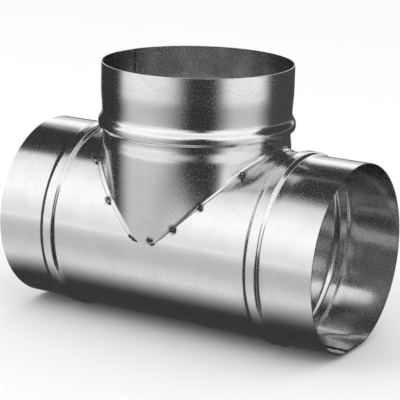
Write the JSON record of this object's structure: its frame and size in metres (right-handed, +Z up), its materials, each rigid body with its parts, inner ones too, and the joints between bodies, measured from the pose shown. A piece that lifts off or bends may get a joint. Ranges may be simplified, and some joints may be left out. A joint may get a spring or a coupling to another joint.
{
  "type": "duct tee",
  "caption": "Galvanised sheet steel duct tee: a straight run with a stop bead near each mouth and a saddle branch welded on its crown at right angles.",
  "frame": {"origin": "under the middle of the run's length and width, on the plane that the tee stands on", "axes": "+X along the run towards its right mouth, +Z up along the branch, +Y away from the viewer of the picture"},
  "size_m": [0.1922, 0.1054, 0.142],
  "materials": {
    "galvanised_sheet": "bright rolled zinc",
    "burnt_weld": "rough, heat-darkened"
  },
  "bodies": {
    "root": {"run_tube": "galvanised_sheet", "branch_collar": "galvanised_sheet", "seam_tacks": "burnt_weld"}
  },
  "joints": []
}
